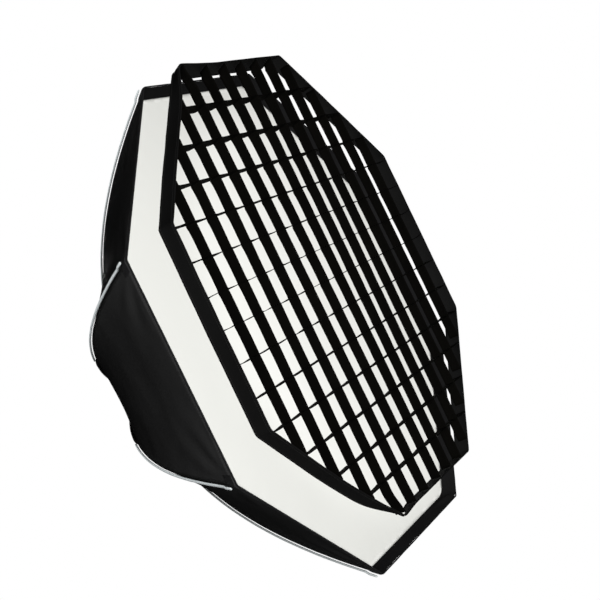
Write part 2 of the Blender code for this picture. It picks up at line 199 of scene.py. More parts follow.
def link_lights():
    """The key reaches the diffuser evenly through the grid, and the edge light picks out the piping."""
    soft = bpy.data.collections.new("lets_light_through")
    for name in ("grid_band", "grid_strips"):
        soft.objects.link(bpy.data.objects[name])
    for member in soft.collection_objects:
        member.light_linking.link_state = "EXCLUDE"
    bpy.data.objects["key"].light_linking.blocker_collection = soft
    pale = bpy.data.collections.new("piping_only")
    for corner in (1, 7, 8):
        pale.objects.link(bpy.data.objects[f"piping_{corner}"])
    bpy.data.objects["edge"].light_linking.receiver_collection = pale


def set_floor():
    """A plain pale disc far below the box, which hangs on its lamp."""
    rings, sectors = 10, 64
    points = [(0.0, FLOOR_Y, FLOOR_Z)]
    for i in range(1, rings + 1):
        radius = FLOOR_RADIUS * i / rings
        for j in range(sectors):
            a = 2.0 * math.pi * j / sectors
            points.append((radius * math.cos(a), FLOOR_Y + radius * math.sin(a), FLOOR_Z))
    faces = [(0, 1 + j, 1 + (j + 1) % sectors) for j in range(sectors)]
    for face in patch_faces(rings, sectors, around=True):
        faces.append(tuple(1 + corner for corner in reversed(face)))
    mesh = bpy.data.meshes.new("floor")
    mesh.from_pydata(points, [], faces)
    floor = bpy.data.objects.new("floor", mesh)
    bpy.context.scene.collection.objects.link(floor)
    finish, _, shader = new_material("floor")
    shader.inputs["Base Color"].default_value = (0.75, 0.75, 0.75, 1.0)
    shader.inputs["Roughness"].default_value = 0.9
    shader.inputs["Emission Color"].default_value = (1.0, 1.0, 1.0, 1.0)
    shader.inputs["Emission Strength"].default_value = 0.72
    mesh.materials.append(finish)
    floor.visible_diffuse = False
    floor.visible_glossy = False
    floor.visible_transmission = False


# ---------------------------------------------------------------- the box's geometry
def azimuth(corner):
    """Direction of a corner, anticlockwise from +X as seen from the front."""
    return FIRST_CORNER - corner * 2.0 * HALF_SIDE


def heading(angle):
    return Vector((math.cos(angle), math.sin(angle)))


def spoke(angle, radius, y):
    return Vector((radius * math.cos(angle), y, radius * math.sin(angle)))


def seam_profile(s):
    """(radius, y) and unit tangent of the seam's curve; s runs 0 at the ring to 1 at the rim."""
    start = Vector((REAR_RADIUS, REAR_Y))
    end = Vector((FRONT_RADIUS, FRONT_Y))
    first = start + REAR_PULL * Vector((math.sin(REAR_ANGLE), -math.cos(REAR_ANGLE)))
    second = end - FRONT_PULL * Vector((math.sin(FRONT_ANGLE), -math.cos(FRONT_ANGLE)))
    t = 1.0 - s
    point = t**3 * start + 3 * t * t * s * first + 3 * t * s * s * second + s**3 * end
    slope = t * t * (first - start) + 2 * t * s * (second - first) + s * s * (end - second)
    return point, slope.normalized()


def panel_normal(panel, tangent):
    """Outward normal of a panel where the seam runs along `tangent`."""
    middle = azimuth(panel) - HALF_SIDE
    across, along = tangent[0] * math.cos(HALF_SIDE), tangent[1]
    return (spoke(middle, -along, 0.0) + Vector((0.0, across, 0.0))).normalized()


def side_normal(corner, lateral, s):
    """Normal of the panel on that side of a corner's seam, at its share s."""
    return panel_normal(corner if lateral > 0 else corner - 1, seam_profile(s)[1])


def skin_point(corner, lateral, s, offset):
    """A point off the shell: `lateral` metres from the seam along the side, `offset` outwards."""
    profile, tangent = seam_profile(s)
    angle = azimuth(corner)
    seam = spoke(angle, profile[0], profile[1])
    before = panel_normal(corner - 1, tangent)
    after = panel_normal(corner, tangent)
    if lateral == 0.0:
        return seam + offset * (before + after) / (1.0 + before.dot(after))
    next_angle = angle - math.copysign(2.0 * HALF_SIDE, lateral)
    side = (spoke(next_angle, 1.0, 0.0) - spoke(angle, 1.0, 0.0)).normalized()
    return seam + abs(lateral) * side + offset * (after if lateral > 0.0 else before)


def ridge_point(corner, lateral, s, offset):
    """skin_point with the ridge at the seam eased over, as thick cloth goes round it."""
    if abs(lateral) >= RIDGE_EASE:
        return skin_point(corner, lateral, s, offset)
    low = skin_point(corner, -RIDGE_EASE, s, offset)
    high = skin_point(corner, RIDGE_EASE, s, offset)
    top = skin_point(corner, 0.0, s, offset)
    t = (lateral + RIDGE_EASE) / (2.0 * RIDGE_EASE)
    return (1 - t) ** 2 * low + 2 * t * (1 - t) * top + t * t * high


def share_at(distance):
    """The share s of the seam at a straight distance back from the rim."""
    end = seam_profile(1.0)[0]
    low, high = 0.0, 1.0
    for _ in range(40):
        middle = 0.5 * (low + high)
        if (seam_profile(middle)[0] - end).length > distance:
            low = middle
        else:
            high = middle
    return low


def spread(low, high, count):
    """That many even steps from low to high, both included."""
    return [low + (high - low) * i / (count - 1) for i in range(count)]


def smooth(t):
    t = min(1.0, max(0.0, t))
    return t * t * (3.0 - 2.0 * t)


def wobble(x, y, seed, scale):
    """Smooth deterministic noise in -1..1 over a plane."""
    return noise.noise(Vector((x / scale, y / scale, 17.3 * seed + 0.5)))


def running_length(points):
    """Length along a line of points up to each of them."""
    run = [0.0]
    for a, b in zip(points, points[1:]):
        run.append(run[-1] + (b - a).length)
    return run


def seam_shares(low, high, step):
    """Shares of the seam at even steps of arc length, and the whole length."""
    fine = spread(low, high, 400)
    run = running_length([seam_profile(s)[0] for s in fine])
    wanted = spread(0.0, run[-1], max(2, round(run[-1] / step) + 1))
    return [float(s) for s in np.interp(wanted, run, fine)], run[-1]


# ---------------------------------------------------------------- mesh makers
def add_mesh(name, points, faces, finishes, uvs=None):
    """A smooth object; `uvs` are its points' flat places in metres."""
    mesh = bpy.data.meshes.new(name)
    mesh.from_pydata([tuple(p) for p in points], [], faces)
    if uvs is not None:
        layer = mesh.uv_layers.new(name="cloth")
        for loop in mesh.loops:
            layer.data[loop.index].uv = uvs[loop.vertex_index]
    mesh.shade_smooth()
    for finish in finishes:
        mesh.materials.append(finish)
    item = bpy.data.objects.new(name, mesh)
    bpy.context.scene.collection.objects.link(item)
    return item


def patch_faces(rows, columns, around=False, along=False):
    """Quads over rows of points; `around` closes each row, `along` joins the last row to the first."""
    faces = []
    for i in range(rows if along else rows - 1):
        low, high = i * columns, ((i + 1) % rows) * columns
        for j in range(columns if around else columns - 1):
            k = (j + 1) % columns
            faces.append((low + j, low + k, high + k, high + j))
    return faces


def cloth_piece(name, rows, finishes, thickness, offset=-1.0, around=False, inner=0, capped=False):
    """A sheet over rows of (point, flat place) pairs, thickened by Solidify.

    `around` closes each row, `capped` fills the first one, `inner` is the inner side's material step.
    """
    points = [point for row in rows for point, _ in row]
    uvs = [flat for row in rows for _, flat in row]
    faces = patch_faces(len(rows), len(rows[0]), around)
    if capped:
        faces.append(tuple(reversed(range(len(rows[0])))))
    item = add_mesh(name, points, faces, finishes, uvs)
    thicken = item.modifiers.new("thickness", "SOLIDIFY")
    thicken.thickness = thickness
    thicken.offset = offset
    thicken.use_even_offset = False
    thicken.material_offset = inner
    return item


def swept(name, centres, frames, section, finish, closed, run):
    """A closed body along a line. section(i) gives the outline of ring i in that ring's (a, b) axes."""
    points, uvs, count = [], [], len(section(0))
    for i, (centre, (a, b)) in enumerate(zip(centres, frames)):
        for j, (x, y) in enumerate(section(i)):
            points.append(centre + x * a + y * b)
            uvs.append((run[i], j * 0.002))
    faces = patch_faces(len(centres), count, around=True, along=closed)
    if not closed:
        last = (len(centres) - 1) * count
        faces.append(tuple(range(count - 1, -1, -1)))
        faces.append(tuple(range(last, last + count)))
    return add_mesh(name, points, faces, [finish], uvs)


def stitches(line, normals, finish, pitch=0.0046, length=0.0034, radius=0.00032, closed=False):
    """A run of thread stitches along a line of points: short raised beads, dipping at both ends."""
    points, normals = list(line), list(normals)
    if closed:
        points.append(points[0])
        normals.append(normals[0])
    run = running_length(points)
    places = np.array([tuple(p) for p in points])
    outwards = np.array([tuple(n) for n in normals])

    def read(values, at):
        return Vector([float(np.interp(at, run, values[:, axis])) for axis in range(3)])

    count, n = max(1, int(run[-1] / pitch)), STITCH_SIDES
    verts, faces = [], []
    for k in range(count):
        begin = (k + 0.5) * run[-1] / count - length / 2
        base = len(verts)
        for share, girth, lift in STITCH:
            at = begin + share * length
            normal = read(outwards, at).normalized()
            along = (read(places, at + 0.001) - read(places, at - 0.001)).normalized()
            side = along.cross(normal).normalized()
            place = read(places, at) + normal * radius * lift
            if girth == 0.0:
                verts.append(place)
                continue
            for j in range(n):
                a = 2.0 * math.pi * j / n
                verts.append(place + radius * girth * (math.cos(a) * side + math.sin(a) * normal))
        tip = base + 1 + 3 * n
        for j in range(n):
            i = (j + 1) % n
            faces.append((base, base + 1 + j, base + 1 + i))
            for low in (base + 1, base + 1 + n):
                faces.append((low + j, low + n + j, low + n + i, low + i))
            faces.append((tip, tip - n + i, tip - n + j))
    return add_mesh("thread", verts, faces, [finish])


def join(name, items):
    """Several meshes as one piece."""
    for item in items:
        if item.modifiers:
            apply_modifiers(item)
    bpy.ops.object.select_all(action="DESELECT")
    for item in items:
        item.select_set(True)
    bpy.context.view_layer.objects.active = items[0]
    bpy.ops.object.join()
    items[0].name = name
    items[0].data.name = name
    return items[0]


def apply_modifiers(item):
    graph = bpy.context.evaluated_depsgraph_get()
    mesh = bpy.data.meshes.new_from_object(item.evaluated_get(graph))
    item.modifiers.clear()
    item.data = mesh


def show(item, body, slot, *nodes):
    """The piece rides on a body and stands for CAD nodes; the record slot `slot` is not used."""
    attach(item, body)
    if nodes:
        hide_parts(*nodes)


def flip_if(item, wrong):
    if wrong:
        item.data.flip_normals()


def orient_outwards(item):
    """Turns an open sheet's faces away from the box's inside."""
    inside = Vector((0.0, -0.33, 0.0))
    faces = item.data.polygons
    flip_if(item, sum(face.normal.dot(face.center - inside) * face.area for face in faces) < 0.0)


def orient_forward(item):
    """Turns an open sheet's faces towards -Y."""
    flip_if(item, sum(face.normal.y * face.area for face in item.data.polygons) > 0.0)


def orient_solid(item):
    """Turns a closed body's faces outwards."""
    volume = 0.0
    for face in item.data.polygons:
        corners = [item.data.vertices[i].co for i in face.vertices]
        for b, c in zip(corners[1:], corners[2:]):
            volume += corners[0].dot(b.cross(c))
    flip_if(item, volume < 0.0)


# ---------------------------------------------------------------- finishes
def new_material(name):
    finish = bpy.data.materials.new(name)
    finish.use_nodes = True
    tree = finish.node_tree
    return finish, tree, tree.nodes["Principled BSDF"]


def node(tree, kind, **settings):
    """A shader node with its inputs or properties set."""
    made = tree.nodes.new(kind)
    for key, value in settings.items():
        if key in made.inputs:
            made.inputs[key].default_value = value
        else:
            setattr(made, key, value)
    return made


def object_place(tree):
    return tree.nodes.new("ShaderNodeTexCoord").outputs["Object"]


def math_node(tree, operation, first, second):
    """One sum on numbers or node outputs."""
    made = tree.nodes.new("ShaderNodeMath")
    made.operation = operation
    for slot, value in ((0, first), (1, second)):
        if isinstance(value, (int, float)):
            made.inputs[slot].default_value = value
        else:
            tree.links.new(value, made.inputs[slot])
    return made.outputs[0]


def weighted(tree, base, *parts):
    """base, plus each part times its share."""
    for value, share in parts:
        base = math_node(tree, "ADD", base, math_node(tree, "MULTIPLY", value, share))
    return base


def noise_node(tree, coordinates, scale, detail=3.0, roughness=0.5):
    made = node(tree, "ShaderNodeTexNoise", Scale=scale, Detail=detail, Roughness=roughness)
    tree.links.new(coordinates, made.inputs["Vector"])
    return made.outputs["Fac"]


def ramp(tree, value, low, high):
    """A value in 0..1, spread over low..high."""
    made = tree.nodes.new("ShaderNodeMapRange")
    made.inputs["To Min"].default_value = low
    made.inputs["To Max"].default_value = high
    tree.links.new(value, made.inputs["Value"])
    return made.outputs["Result"]


def colour_mix(tree, factor, low, high):
    """A colour between low and high."""
    made = tree.nodes.new("ShaderNodeMix")
    made.data_type = "RGBA"
    for slot in made.inputs:
        if slot.type == "RGBA":
            slot.default_value = (*(low if slot.name == "A" else high), 1.0)
    tree.links.new(factor, made.inputs[0])
    return [o for o in made.outputs if o.type == "RGBA"][0]


def relief(tree, shader, height, strength, depth):
    """Lets a height tilt the surface's normals."""
    made = node(tree, "ShaderNodeBump", Strength=strength, Distance=depth)
    tree.links.new(height, made.inputs["Height"])
    tree.links.new(made.outputs["Normal"], shader.inputs["Normal"])


def weave_height(tree, uv, pitch):
    """Plain weave as a height: over-and-under threads at `pitch` metres."""
    waves = []
    for direction in ("X", "Y"):
        wave = node(tree, "ShaderNodeTexWave", wave_type="BANDS", bands_direction=direction,
                    Scale=math.pi / 10.0 / pitch, Distortion=0.6, Detail=1.0)
        wave.inputs["Detail Scale"].default_value = 0.4
        tree.links.new(uv, wave.inputs["Vector"])
        waves.append(wave.outputs["Fac"])
    return math_node(tree, "MAXIMUM", waves[0], math_node(tree, "SUBTRACT", 1.0, waves[1]))


def fabric(name, dark, light, pitch, roughness, strength, sheen=0.0, specular=0.3, depth=0.0002,
           cloud=9.0, flat=True):
    """Woven cloth: thread relief, uneven dye and wear clouds, and a rough or slightly shiny surface.

    The weave lies in the sheet's flat places or, where `flat` is off, along the object's axes.
    """
    finish, tree, shader = new_material(name)
    place = object_place(tree)
    laid = node(tree, "ShaderNodeUVMap", uv_map="cloth").outputs["UV"] if flat else place
    weave = weave_height(tree, laid, pitch)
    clouds = noise_node(tree, place, cloud, 4.0, 0.55)
    fine = noise_node(tree, place, 420.0, 2.0, 0.6)
    tone = weighted(tree, 0.0, (clouds, 0.55), (fine, 0.2), (weave, 0.25))
    tree.links.new(colour_mix(tree, ramp(tree, tone, -0.4, 1.35), dark, light), shader.inputs["Base Color"])
    tree.links.new(weighted(tree, roughness - 0.08, (clouds, 0.16)), shader.inputs["Roughness"])
    shader.inputs["Specular IOR Level"].default_value = specular
    shader.inputs["Sheen Weight"].default_value = sheen
    shader.inputs["Sheen Roughness"].default_value = 0.5
    relief(tree, shader, weighted(tree, weave, (fine, 0.5)), strength, depth)
    return finish


def metal(name, dark, light, roughness, strength, brushed=(1.0, 1.0, 1.0)):
    """Machined or plated metal: turning marks, uneven oxide tone and small scratches."""
    finish, tree, shader = new_material(name)
    place = object_place(tree)
    stretch = tree.nodes.new("ShaderNodeMapping")
    stretch.inputs["Scale"].default_value = brushed
    tree.links.new(place, stretch.inputs["Vector"])
    grain = noise_node(tree, stretch.outputs["Vector"], 260.0, 3.0, 0.6)
    clouds = noise_node(tree, place, 30.0, 4.0, 0.5)
    tone = weighted(tree, 0.0, (clouds, 0.6), (grain, 0.4))
    tree.links.new(colour_mix(tree, tone, dark, light), shader.inputs["Base Color"])
    tree.links.new(weighted(tree, roughness - 0.1, (tone, 0.2)), shader.inputs["Roughness"])
    shader.inputs["Metallic"].default_value = 1.0
    relief(tree, shader, grain, strength, 0.0002)
    return finish


def plastic(name, dark, light, roughness, specular=0.5):
    """Moulded plastic or thread with a fine grain."""
    finish, tree, shader = new_material(name)
    place = object_place(tree)
    grain = noise_node(tree, place, 2200.0, 2.0, 0.5)
    clouds = noise_node(tree, place, 60.0, 3.0, 0.5)
    tree.links.new(colour_mix(tree, clouds, dark, light), shader.inputs["Base Color"])
    tree.links.new(weighted(tree, roughness - 0.06, (grain, 0.12)), shader.inputs["Roughness"])
    shader.inputs["Specular IOR Level"].default_value = specular
    relief(tree, shader, grain, 0.3, 0.0001)
    return finish


def grey(level):
    return level, level, level


def make_finishes():
    """Every finish by its short name: darkest and lightest colour, weave pitch, roughness, relief."""
    return {
        "nylon": fabric("black_nylon", (0.028, 0.028, 0.0285), (0.046, 0.046, 0.047), 0.0006, 0.66, 0.25,
                        specular=0.03),
        "silver": fabric("silver_lining", (0.55, 0.56, 0.58), (0.74, 0.75, 0.77), 0.0006, 0.34, 0.35,
                         specular=0.6),
        # The lip is the panels' black nylon at about a quarter of its brightness: painted shade for the
        # recess between rim and diffuser.
        "lip": fabric("lip_nylon_painted_shade", (0.0060, 0.0060, 0.0062), (0.0110, 0.0110, 0.0114), 0.0006, 0.70, 0.25,
                      specular=0.0),
        "tape": fabric("black_tape", (0.006, 0.006, 0.0065), (0.014, 0.014, 0.015), 0.0011, 0.70,
                       0.5, specular=0.15),
        "patch": fabric("black_webbing", (0.008, 0.008, 0.009), (0.017, 0.017, 0.018), 0.0014, 0.62, 0.6,
                        specular=0.35, depth=0.0003),
        "loop": fabric("loop_tape", (0.010, 0.010, 0.011), (0.024, 0.024, 0.025), 0.0008, 0.85, 0.8,
                       sheen=0.2, specular=0.1, depth=0.0005),
        "piping": fabric("grey_piping", (0.40, 0.43, 0.44), (0.58, 0.62, 0.63), 0.0007, 0.60, 0.5,
                         flat=False, cloud=40.0),
        "white": fabric("white_cloth", (0.79, 0.795, 0.765), (0.835, 0.838, 0.81), 0.0005, 0.85, 0.15,
                        specular=0.15, cloud=4.0),
        # The hem is a little lighter than the white cloth: a painted highlight along the diffuser's border.
        "hem": fabric("white_hem_painted_highlight", (0.83, 0.835, 0.81), (0.88, 0.88, 0.86), 0.0009, 0.80, 0.3,
                      specular=0.2, cloud=12.0),
        "elastic": fabric("white_elastic", (0.60, 0.60, 0.58), (0.80, 0.80, 0.78), 0.0012, 0.80, 0.7,
                          specular=0.2, depth=0.0003),
        # The strips' cloth is the band's grid cloth made about three times darker: painted shade among the
        # strips, which cast no shadow from the key.
        "grid": fabric("grid_cloth", (0.0011, 0.0010, 0.0009), (0.0032, 0.0030, 0.0025), 0.0009, 0.78, 0.4,
                       specular=0.01),
        "band": fabric("grid_band", (0.0042, 0.0042, 0.0042), (0.0086, 0.0086, 0.0087), 0.0009, 0.75, 0.4,
                       specular=0.02),
        "thread": plastic("black_thread", grey(0.008), grey(0.016), 0.7, 0.05),
        "grey_thread": plastic("grey_thread", grey(0.018), grey(0.030), 0.7, 0.05),
        "white_thread": plastic("white_thread", (0.70, 0.70, 0.68), (0.80, 0.80, 0.78), 0.6),
        "steel": metal("spring_steel", grey(0.50), grey(0.66), 0.30, 0.1),
        "cast": metal("ring_metal", (0.50, 0.51, 0.53), (0.66, 0.67, 0.69), 0.38, 0.25),
        "turned": metal("adapter_metal", (0.52, 0.53, 0.55), (0.70, 0.71, 0.73), 0.28, 0.15,
                        brushed=(1.0, 12.0, 1.0)),
        "zinc": metal("zinc", (0.46, 0.47, 0.50), (0.62, 0.63, 0.66), 0.32, 0.1),
        "knob": plastic("knob", (0.014, 0.014, 0.015), (0.026, 0.026, 0.028), 0.42),
    }


# ---------------------------------------------------------------- shell
def panel_shape(panel, u, s, width, run):
    """How far the cloth of a panel lies out of its flat line there, in metres; inwards is negative."""
    across = u * width
    edge = min(across, width - across)
    bow = -PANEL_BOW * 4.0 * u * (1.0 - u) * smooth(s / 0.35) * (1.0 - smooth((s - 0.72) / 0.28) * 0.92)
    soft = 0.0016 * wobble(across - width / 2, run, panel, 0.11)
    soft += 0.0007 * wobble(across, run, panel + 9, 0.045)
    soft *= smooth(edge / 0.05) * smooth(s / 0.12) * smooth((1.0 - s) / 0.05)
    pucker = 0.00045 * math.sin(run * 2.0 * math.pi / 0.014 + 3.0 * wobble(run, 0.0, panel + 3, 0.05))
    pucker *= math.exp(-edge / 0.014) * smooth(edge / 0.003)
    folds = 0.0
    for side, strength in ((0.0, 1.0), (1.0, 0.75)):
        near = across if side == 0.0 else width - across
        from_rim = (1.0 - s) * SEAM_RUN
        reach = math.hypot(near, from_rim)
        turn = math.atan2(from_rim, near + 0.0001)
        ripple = math.sin(9.0 * turn + 1.7 * panel + 2.2 * side)
        folds += strength * 0.0016 * ripple * math.exp(-((reach - 0.09) / 0.05) ** 2) * smooth(near / 0.03)
    folds *= smooth((1.0 - s) / 0.03)
    return bow + soft + pucker + folds


def shell_panels(finish):
    """Eight black panels with a silver inner side, stretched between the rods."""
    shares, length = seam_shares(0.0, PANEL_END, 0.0118)
    last = len(shares) - 1
    for panel in range(SIDES):
        rows, cut = [], 0.0
        for i, s in enumerate(shares):
            profile, tangent = seam_profile(s)
            width = 2.0 * profile[0] * math.sin(HALF_SIDE)
            run = length * i / last
            cut += width * length / last * (0.5 if i in (0, last) else 1.0)
            normal = panel_normal(panel, tangent)
            start = spoke(azimuth(panel), profile[0], profile[1])
            end = spoke(azimuth(panel + 1), profile[0], profile[1])
            row = []
            for t in spread(0.0, 1.0, PANEL_COLUMNS + 1):
                u = t - 0.12 * math.sin(2.0 * math.pi * t) / (2.0 * math.pi)
                u = u * (1.0 - 0.0018 / width) + 0.0009 / width
                lift = panel_shape(panel, u, s, width, run)
                row.append((start.lerp(end, u) + normal * (lift + 0.0004), ((u - 0.5) * width, run)))
            rows.append(row)
        cloths = [finish["nylon"], finish["silver"]]
        item = cloth_piece(f"side_panel_{panel + 1}", rows, cloths, CLOTH, inner=1)
        orient_outwards(item)
        show(item, "softbox", "black_nylon", f"shell_panel_{panel + 1}")


def seam_piping(finish):
    """The two-bead piping on every seam, with the dark thread in its groove."""
    shares, length = seam_shares(TONGUE_SPAN + 0.004, share_at(0.011), 0.0014)
    last = len(shares) - 1
    run = [length * i / last for i in range(last + 1)]
    over = share_at(POCKET_LENGTH + 0.004)
    for corner in range(SIDES):
        side = spoke(azimuth(corner) + math.pi / 2, 1.0, 0.0)
        centres = []
        for s, r in zip(shares, run):
            place = skin_point(corner, 0.0, s, PIPING_OUT + PIPING_RISE * smooth((s - over + 0.01) / 0.015))
            centres.append(place + side * 0.0006 * wobble(r, 0.0, corner + 31, 0.06))
        frames = []
        for i in range(last + 1):
            ahead = centres[min(i + 1, last)] - centres[max(i - 1, 0)]
            frames.append((side, ahead.normalized().cross(side).normalized()))

        def section(i, corner=corner):
            ends = min(1.0, 0.35 + min(run[i], length - run[i]) / 0.004)
            grow = 1.0 + 0.07 * wobble(run[i], 3.0, corner + 11, 0.03)
            outline = []
            for j in range(PIPING_SIDES):
                a = 2.0 * math.pi * j / PIPING_SIDES
                groove = 0.80 + 0.20 * math.cos(2.0 * a)
                rib = 1.0 + 0.030 * math.sin(2.0 * a + 2.0 * math.pi * run[i] / PIPING_RIB)
                r = PIPING_RADIUS * ends * grow * groove * rib
                outline.append((1.04 * r * math.cos(a), r * math.sin(a)))
            return outline

        cord = swept("cord", centres, frames, section, finish["piping"], False, run)
        top = [place + out * (0.62 * PIPING_RADIUS) for place, (_, out) in zip(centres, frames)]
        thread = stitches(top[6:-6], [out for _, out in frames][6:-6], finish["thread"],
                          length=0.0040, radius=0.0005)
        piece = join(f"piping_{corner + 1}", [cord, thread])
        show(piece, "softbox", "grey_piping", f"seam_piping_{corner + 1}")


def seam_stitching(finish):
    """Two rows of top stitching beside every piping."""
    shares, _ = seam_shares(TONGUE_SPAN + 0.01, share_at(0.012), 0.02)
    for corner in range(SIDES):
        runs = []
        for side in (-1.0, 1.0):
            line = [skin_point(corner, side * 0.0072, s, 0.0003) for s in shares]
            normals = [side_normal(corner, side, s) for s in shares]
            runs.append(stitches(line, normals, finish["thread"], pitch=0.0052, length=0.0038))
        show(join(f"seam_stitching_{corner + 1}", runs), "softbox", "black_nylon")


def corner_pockets(finish):
    """Reinforcing patches where the rods' tips push into the rim."""
    shares, _ = seam_shares(share_at(POCKET_LENGTH), share_at(POCKET_END), 0.0022)
    for corner in range(SIDES):
        rows = []
        for i, s in enumerate(shares):
            t = i / (len(shares) - 1)
            row = []
            for w in spread(-POCKET_HALF_WIDTH, POCKET_HALF_WIDTH, 21):
                edge = min(1.0, (POCKET_HALF_WIDTH - abs(w)) / 0.003, t / 0.10, (1.0 - t) / 0.08)
                pad = 0.0011 * math.exp(-(w / 0.008) ** 2) * smooth(t / 0.3)
                lift = 0.0013 + 0.0006 * smooth(edge) + pad + 0.0002 * wobble(w, t * 0.03, corner + 50, 0.01)
                row.append((ridge_point(corner, w, s, lift), (w, SEAM_RUN * s)))
            rows.append(row)
        item = cloth_piece("pocket", rows, [finish["patch"]], 0.0009)
        orient_outwards(item)
        piece = join(f"rim_pocket_{corner + 1}", [item, pocket_thread(corner, finish)])
        show(piece, "softbox", "patch", f"corner_pocket_{corner + 1}")


def pocket_thread(corner, finish):
    """The stitching round a pocket's two sides and rear edge."""
    inset = 0.0035
    half = POCKET_HALF_WIDTH - inset
    low, high = share_at(POCKET_LENGTH - inset), share_at(POCKET_END + inset)
    path = [(half, s) for s in spread(high, low, 6)[:-1]]
    path += [(w, low) for w in spread(half, -half, 15)]
    path += [(-half, s) for s in spread(low, high, 6)[1:]]
    line = [ridge_point(corner, w, s, 0.0021) for w, s in path]
    normals = [side_normal(corner, w, s) for w, s in path]
    return stitches(line, normals, finish["grey_thread"], pitch=0.0042, length=0.0031)


def tongue_outline(t):
    """Half width of a collar tongue at the share t of its length, with a round end."""
    full = 0.0158
    if t < 0.62:
        return full
    return full * math.sqrt(max(0.0, 1.0 - ((t - 0.62) / 0.385) ** 2)) + 0.0008


def tongue_pad(w, half, t):
    """How far a collar tongue is padded out there."""
    return 0.0034 * (1.0 - (abs(w) / half) ** 4) * smooth(t / 0.05) * smooth((1.0 - t) / 0.10)


def collar_ring(finish):
    """The padded cloth ring at the speedring, which follows the shell's eight ridges."""
    columns = 24
    shares, _ = seam_shares(0.0, RING_SPAN, 0.004)
    rows = []
    for i, s in enumerate(shares):
        t = i / (len(shares) - 1)
        width = 2.0 * seam_profile(s)[0][0] * math.sin(HALF_SIDE)
        row = []
        for corner in range(SIDES):
            for j in range(columns):
                across = width * (j + 0.5) / columns
                uneven = 0.0003 * wobble(corner + across * 20, t, 60, 0.4)
                puff = 0.0030 + 0.0012 * math.sin(math.pi * t) + uneven
                if across < width / 2:
                    place = ridge_point(corner, across, s, puff)
                else:
                    place = ridge_point(corner + 1, across - width, s, puff)
                row.append((place, (corner * width + across, SEAM_RUN * s)))
        rows.append(row)
    ring = cloth_piece("ring", rows, [finish["patch"]], 0.0018, around=True)
    orient_outwards(ring)
    return ring


def collar_tongue(corner, finish):
    """A collar tongue over one seam, and its stitching."""
    shares, length = seam_shares(RING_SPAN * 0.8, TONGUE_SPAN + 0.002, 0.0035)
    rows = []
    for i, s in enumerate(shares):
        t = i / (len(shares) - 1)
        half = tongue_outline(t)
        rows.append([(ridge_point(corner, w, s, 0.0022 + tongue_pad(w, half, t)), (w, length * t))
                     for w in spread(-half, half, 15)])
    tongue = cloth_piece("tongue", rows, [finish["patch"]], 0.0014)
    orient_outwards(tongue)
    line, normals = [], []
    for side, s in [(-1.0, s) for s in shares] + [(1.0, s) for s in reversed(shares)]:
        t = (s - shares[0]) / (shares[-1] - shares[0])
        half = tongue_outline(t)
        w = side * max(0.0012, half - 0.0032)
        line.append(ridge_point(corner, w, s, 0.0024 + tongue_pad(w, max(half, 0.002), t)))
        normals.append(side_normal(corner, w, s))
    return [tongue, stitches(line, normals, finish["grey_thread"], pitch=0.0044, length=0.0032)]


def rear_collar(finish):
    """The collar at the speedring, with a tongue down every seam."""
    parts = [collar_ring(finish)]
    for corner in range(SIDES):
        parts += collar_tongue(corner, finish)
    show(join("ring_collar", parts), "softbox", "patch", "rear_collar")


# ---------------------------------------------------------------- octagons with rounded corners
def octagon_line(radius, corner_radius, per_side=40, arc=7, loose=None):
    """Points (x, z), outward unit normals and run of a rounded octagon, anticlockwise from +X.

    `loose` is (corner, radius) for one corner that is rounder than the rest.
    """
    apothem = radius * math.cos(HALF_SIDE)
    half = radius * math.sin(HALF_SIDE)
    radii = [corner_radius] * SIDES
    if loose:
        radii[(2 - loose[0]) % SIDES] = loose[1]
    line, normals = [], []
    for k in range(SIDES):
        facing = 2.0 * HALF_SIDE * k
        out, along = heading(facing), heading(facing).orthogonal()
        before = half - radii[k - 1] * math.tan(HALF_SIDE)
        after = half - radii[k] * math.tan(HALF_SIDE)
        for t in spread(-before, after, per_side + 1):
            line.append(apothem * out + t * along)
            normals.append(out)
        centre = (apothem - radii[k]) * out + after * along
        for i in range(1, arc):
            direction = heading(facing + 2.0 * HALF_SIDE * i / arc)
            line.append(centre + radii[k] * direction)
            normals.append(direction)
    return line, normals, running_length(line)


def from_corner(place, corner):
    """Distance along the side between a front point (x, z) and a corner's spoke, positive anticlockwise."""
    angle = azimuth(corner)
    return -place[0] * math.sin(angle) + place[1] * math.cos(angle)


def lip_swell(place, t, run):
    """How far the lip stands out of its straight cone at share t of its width: ripples and creases."""
    swell = 0.0007 * math.sin(math.pi * t) * wobble(run, 0.02 * t, 71, 0.05)
    for corner in range(SIDES):
        away = abs(from_corner(place, corner))
        if away < 0.09 and place.dot(heading(azimuth(corner))) > 0.0:
            swell += 0.0012 * math.exp(-(away / 0.006) ** 2) * math.sin(math.pi * t)
    return swell


def front_lip(finish):
    """The black flap that turns in from the rim to the diffuser, slack at one corner."""
    outer, normals, run = octagon_line(LIP_OUTER, 0.010)
    inner = octagon_line(LIP_RADIUS, LIP_CORNER, loose=(LOOSE_CORNER, LOOSE_ROUND))[0]
    high, low = FRONT_Y - 0.0006, FRONT_Y + LIP_DEPTH
    rows = []
    for t in spread(0.0, 1.0, 13):
        row = []
        for a, b, n, r in zip(outer, inner, normals, run):
            place = a.lerp(b, t)
            slack = crease(place, t)
            place = place - n * (lip_swell(place, t, r) + slack)
            depth = high + (low - high) * t ** 1.15 - 0.4 * slack
            row.append((Vector((place[0], depth, place[1])), (r, 0.03 * t)))
        rows.append(row)
    # The flap wears the darker copy of the nylon: painted shade in the recess.
    lip = cloth_piece("lip", rows, [finish["lip"]], 0.0009, offset=0.0, around=True)
    orient_forward(lip)
    parts = [lip, lip_edge(inner, run, low, finish), lip_thread(outer, inner, high, low, finish)]
    show(join("rim_lip", parts), "softbox", "black_nylon", "front_lip")


